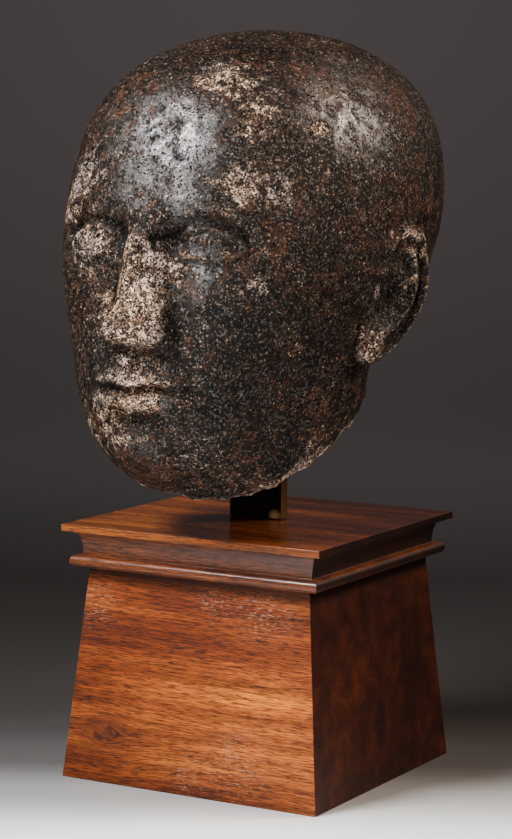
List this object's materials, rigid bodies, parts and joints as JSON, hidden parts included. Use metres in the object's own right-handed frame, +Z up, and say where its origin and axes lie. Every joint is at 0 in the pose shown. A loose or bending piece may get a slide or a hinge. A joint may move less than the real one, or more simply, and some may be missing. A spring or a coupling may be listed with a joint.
{
  "type": "carved stone head on plinth",
  "caption": "Battered dark granite head of a shaven man, broken off below the jaw, held on a flat metal post above a tapering wooden plinth with a moulded cap.",
  "frame": {"origin": "middle of the plinth's flat underside", "axes": "+Z up along the plinth's axis, -Y the way the face looks and the plinth's front, +X the figure's left"},
  "size_m": [0.1792, 0.2176, 0.3607],
  "materials": {
    "stone": "polished and weathered dark granite with pale and rusty grains",
    "bronze": "dark patinated bronze or brass, satin",
    "wood": "reddish brown hardwood, satin lacquer"
  },
  "bodies": {
    "root": {"stone_head": "stone", "mounting_post": "bronze", "plinth_cap": "wood", "plinth_body": "wood"}
  },
  "joints": []
}
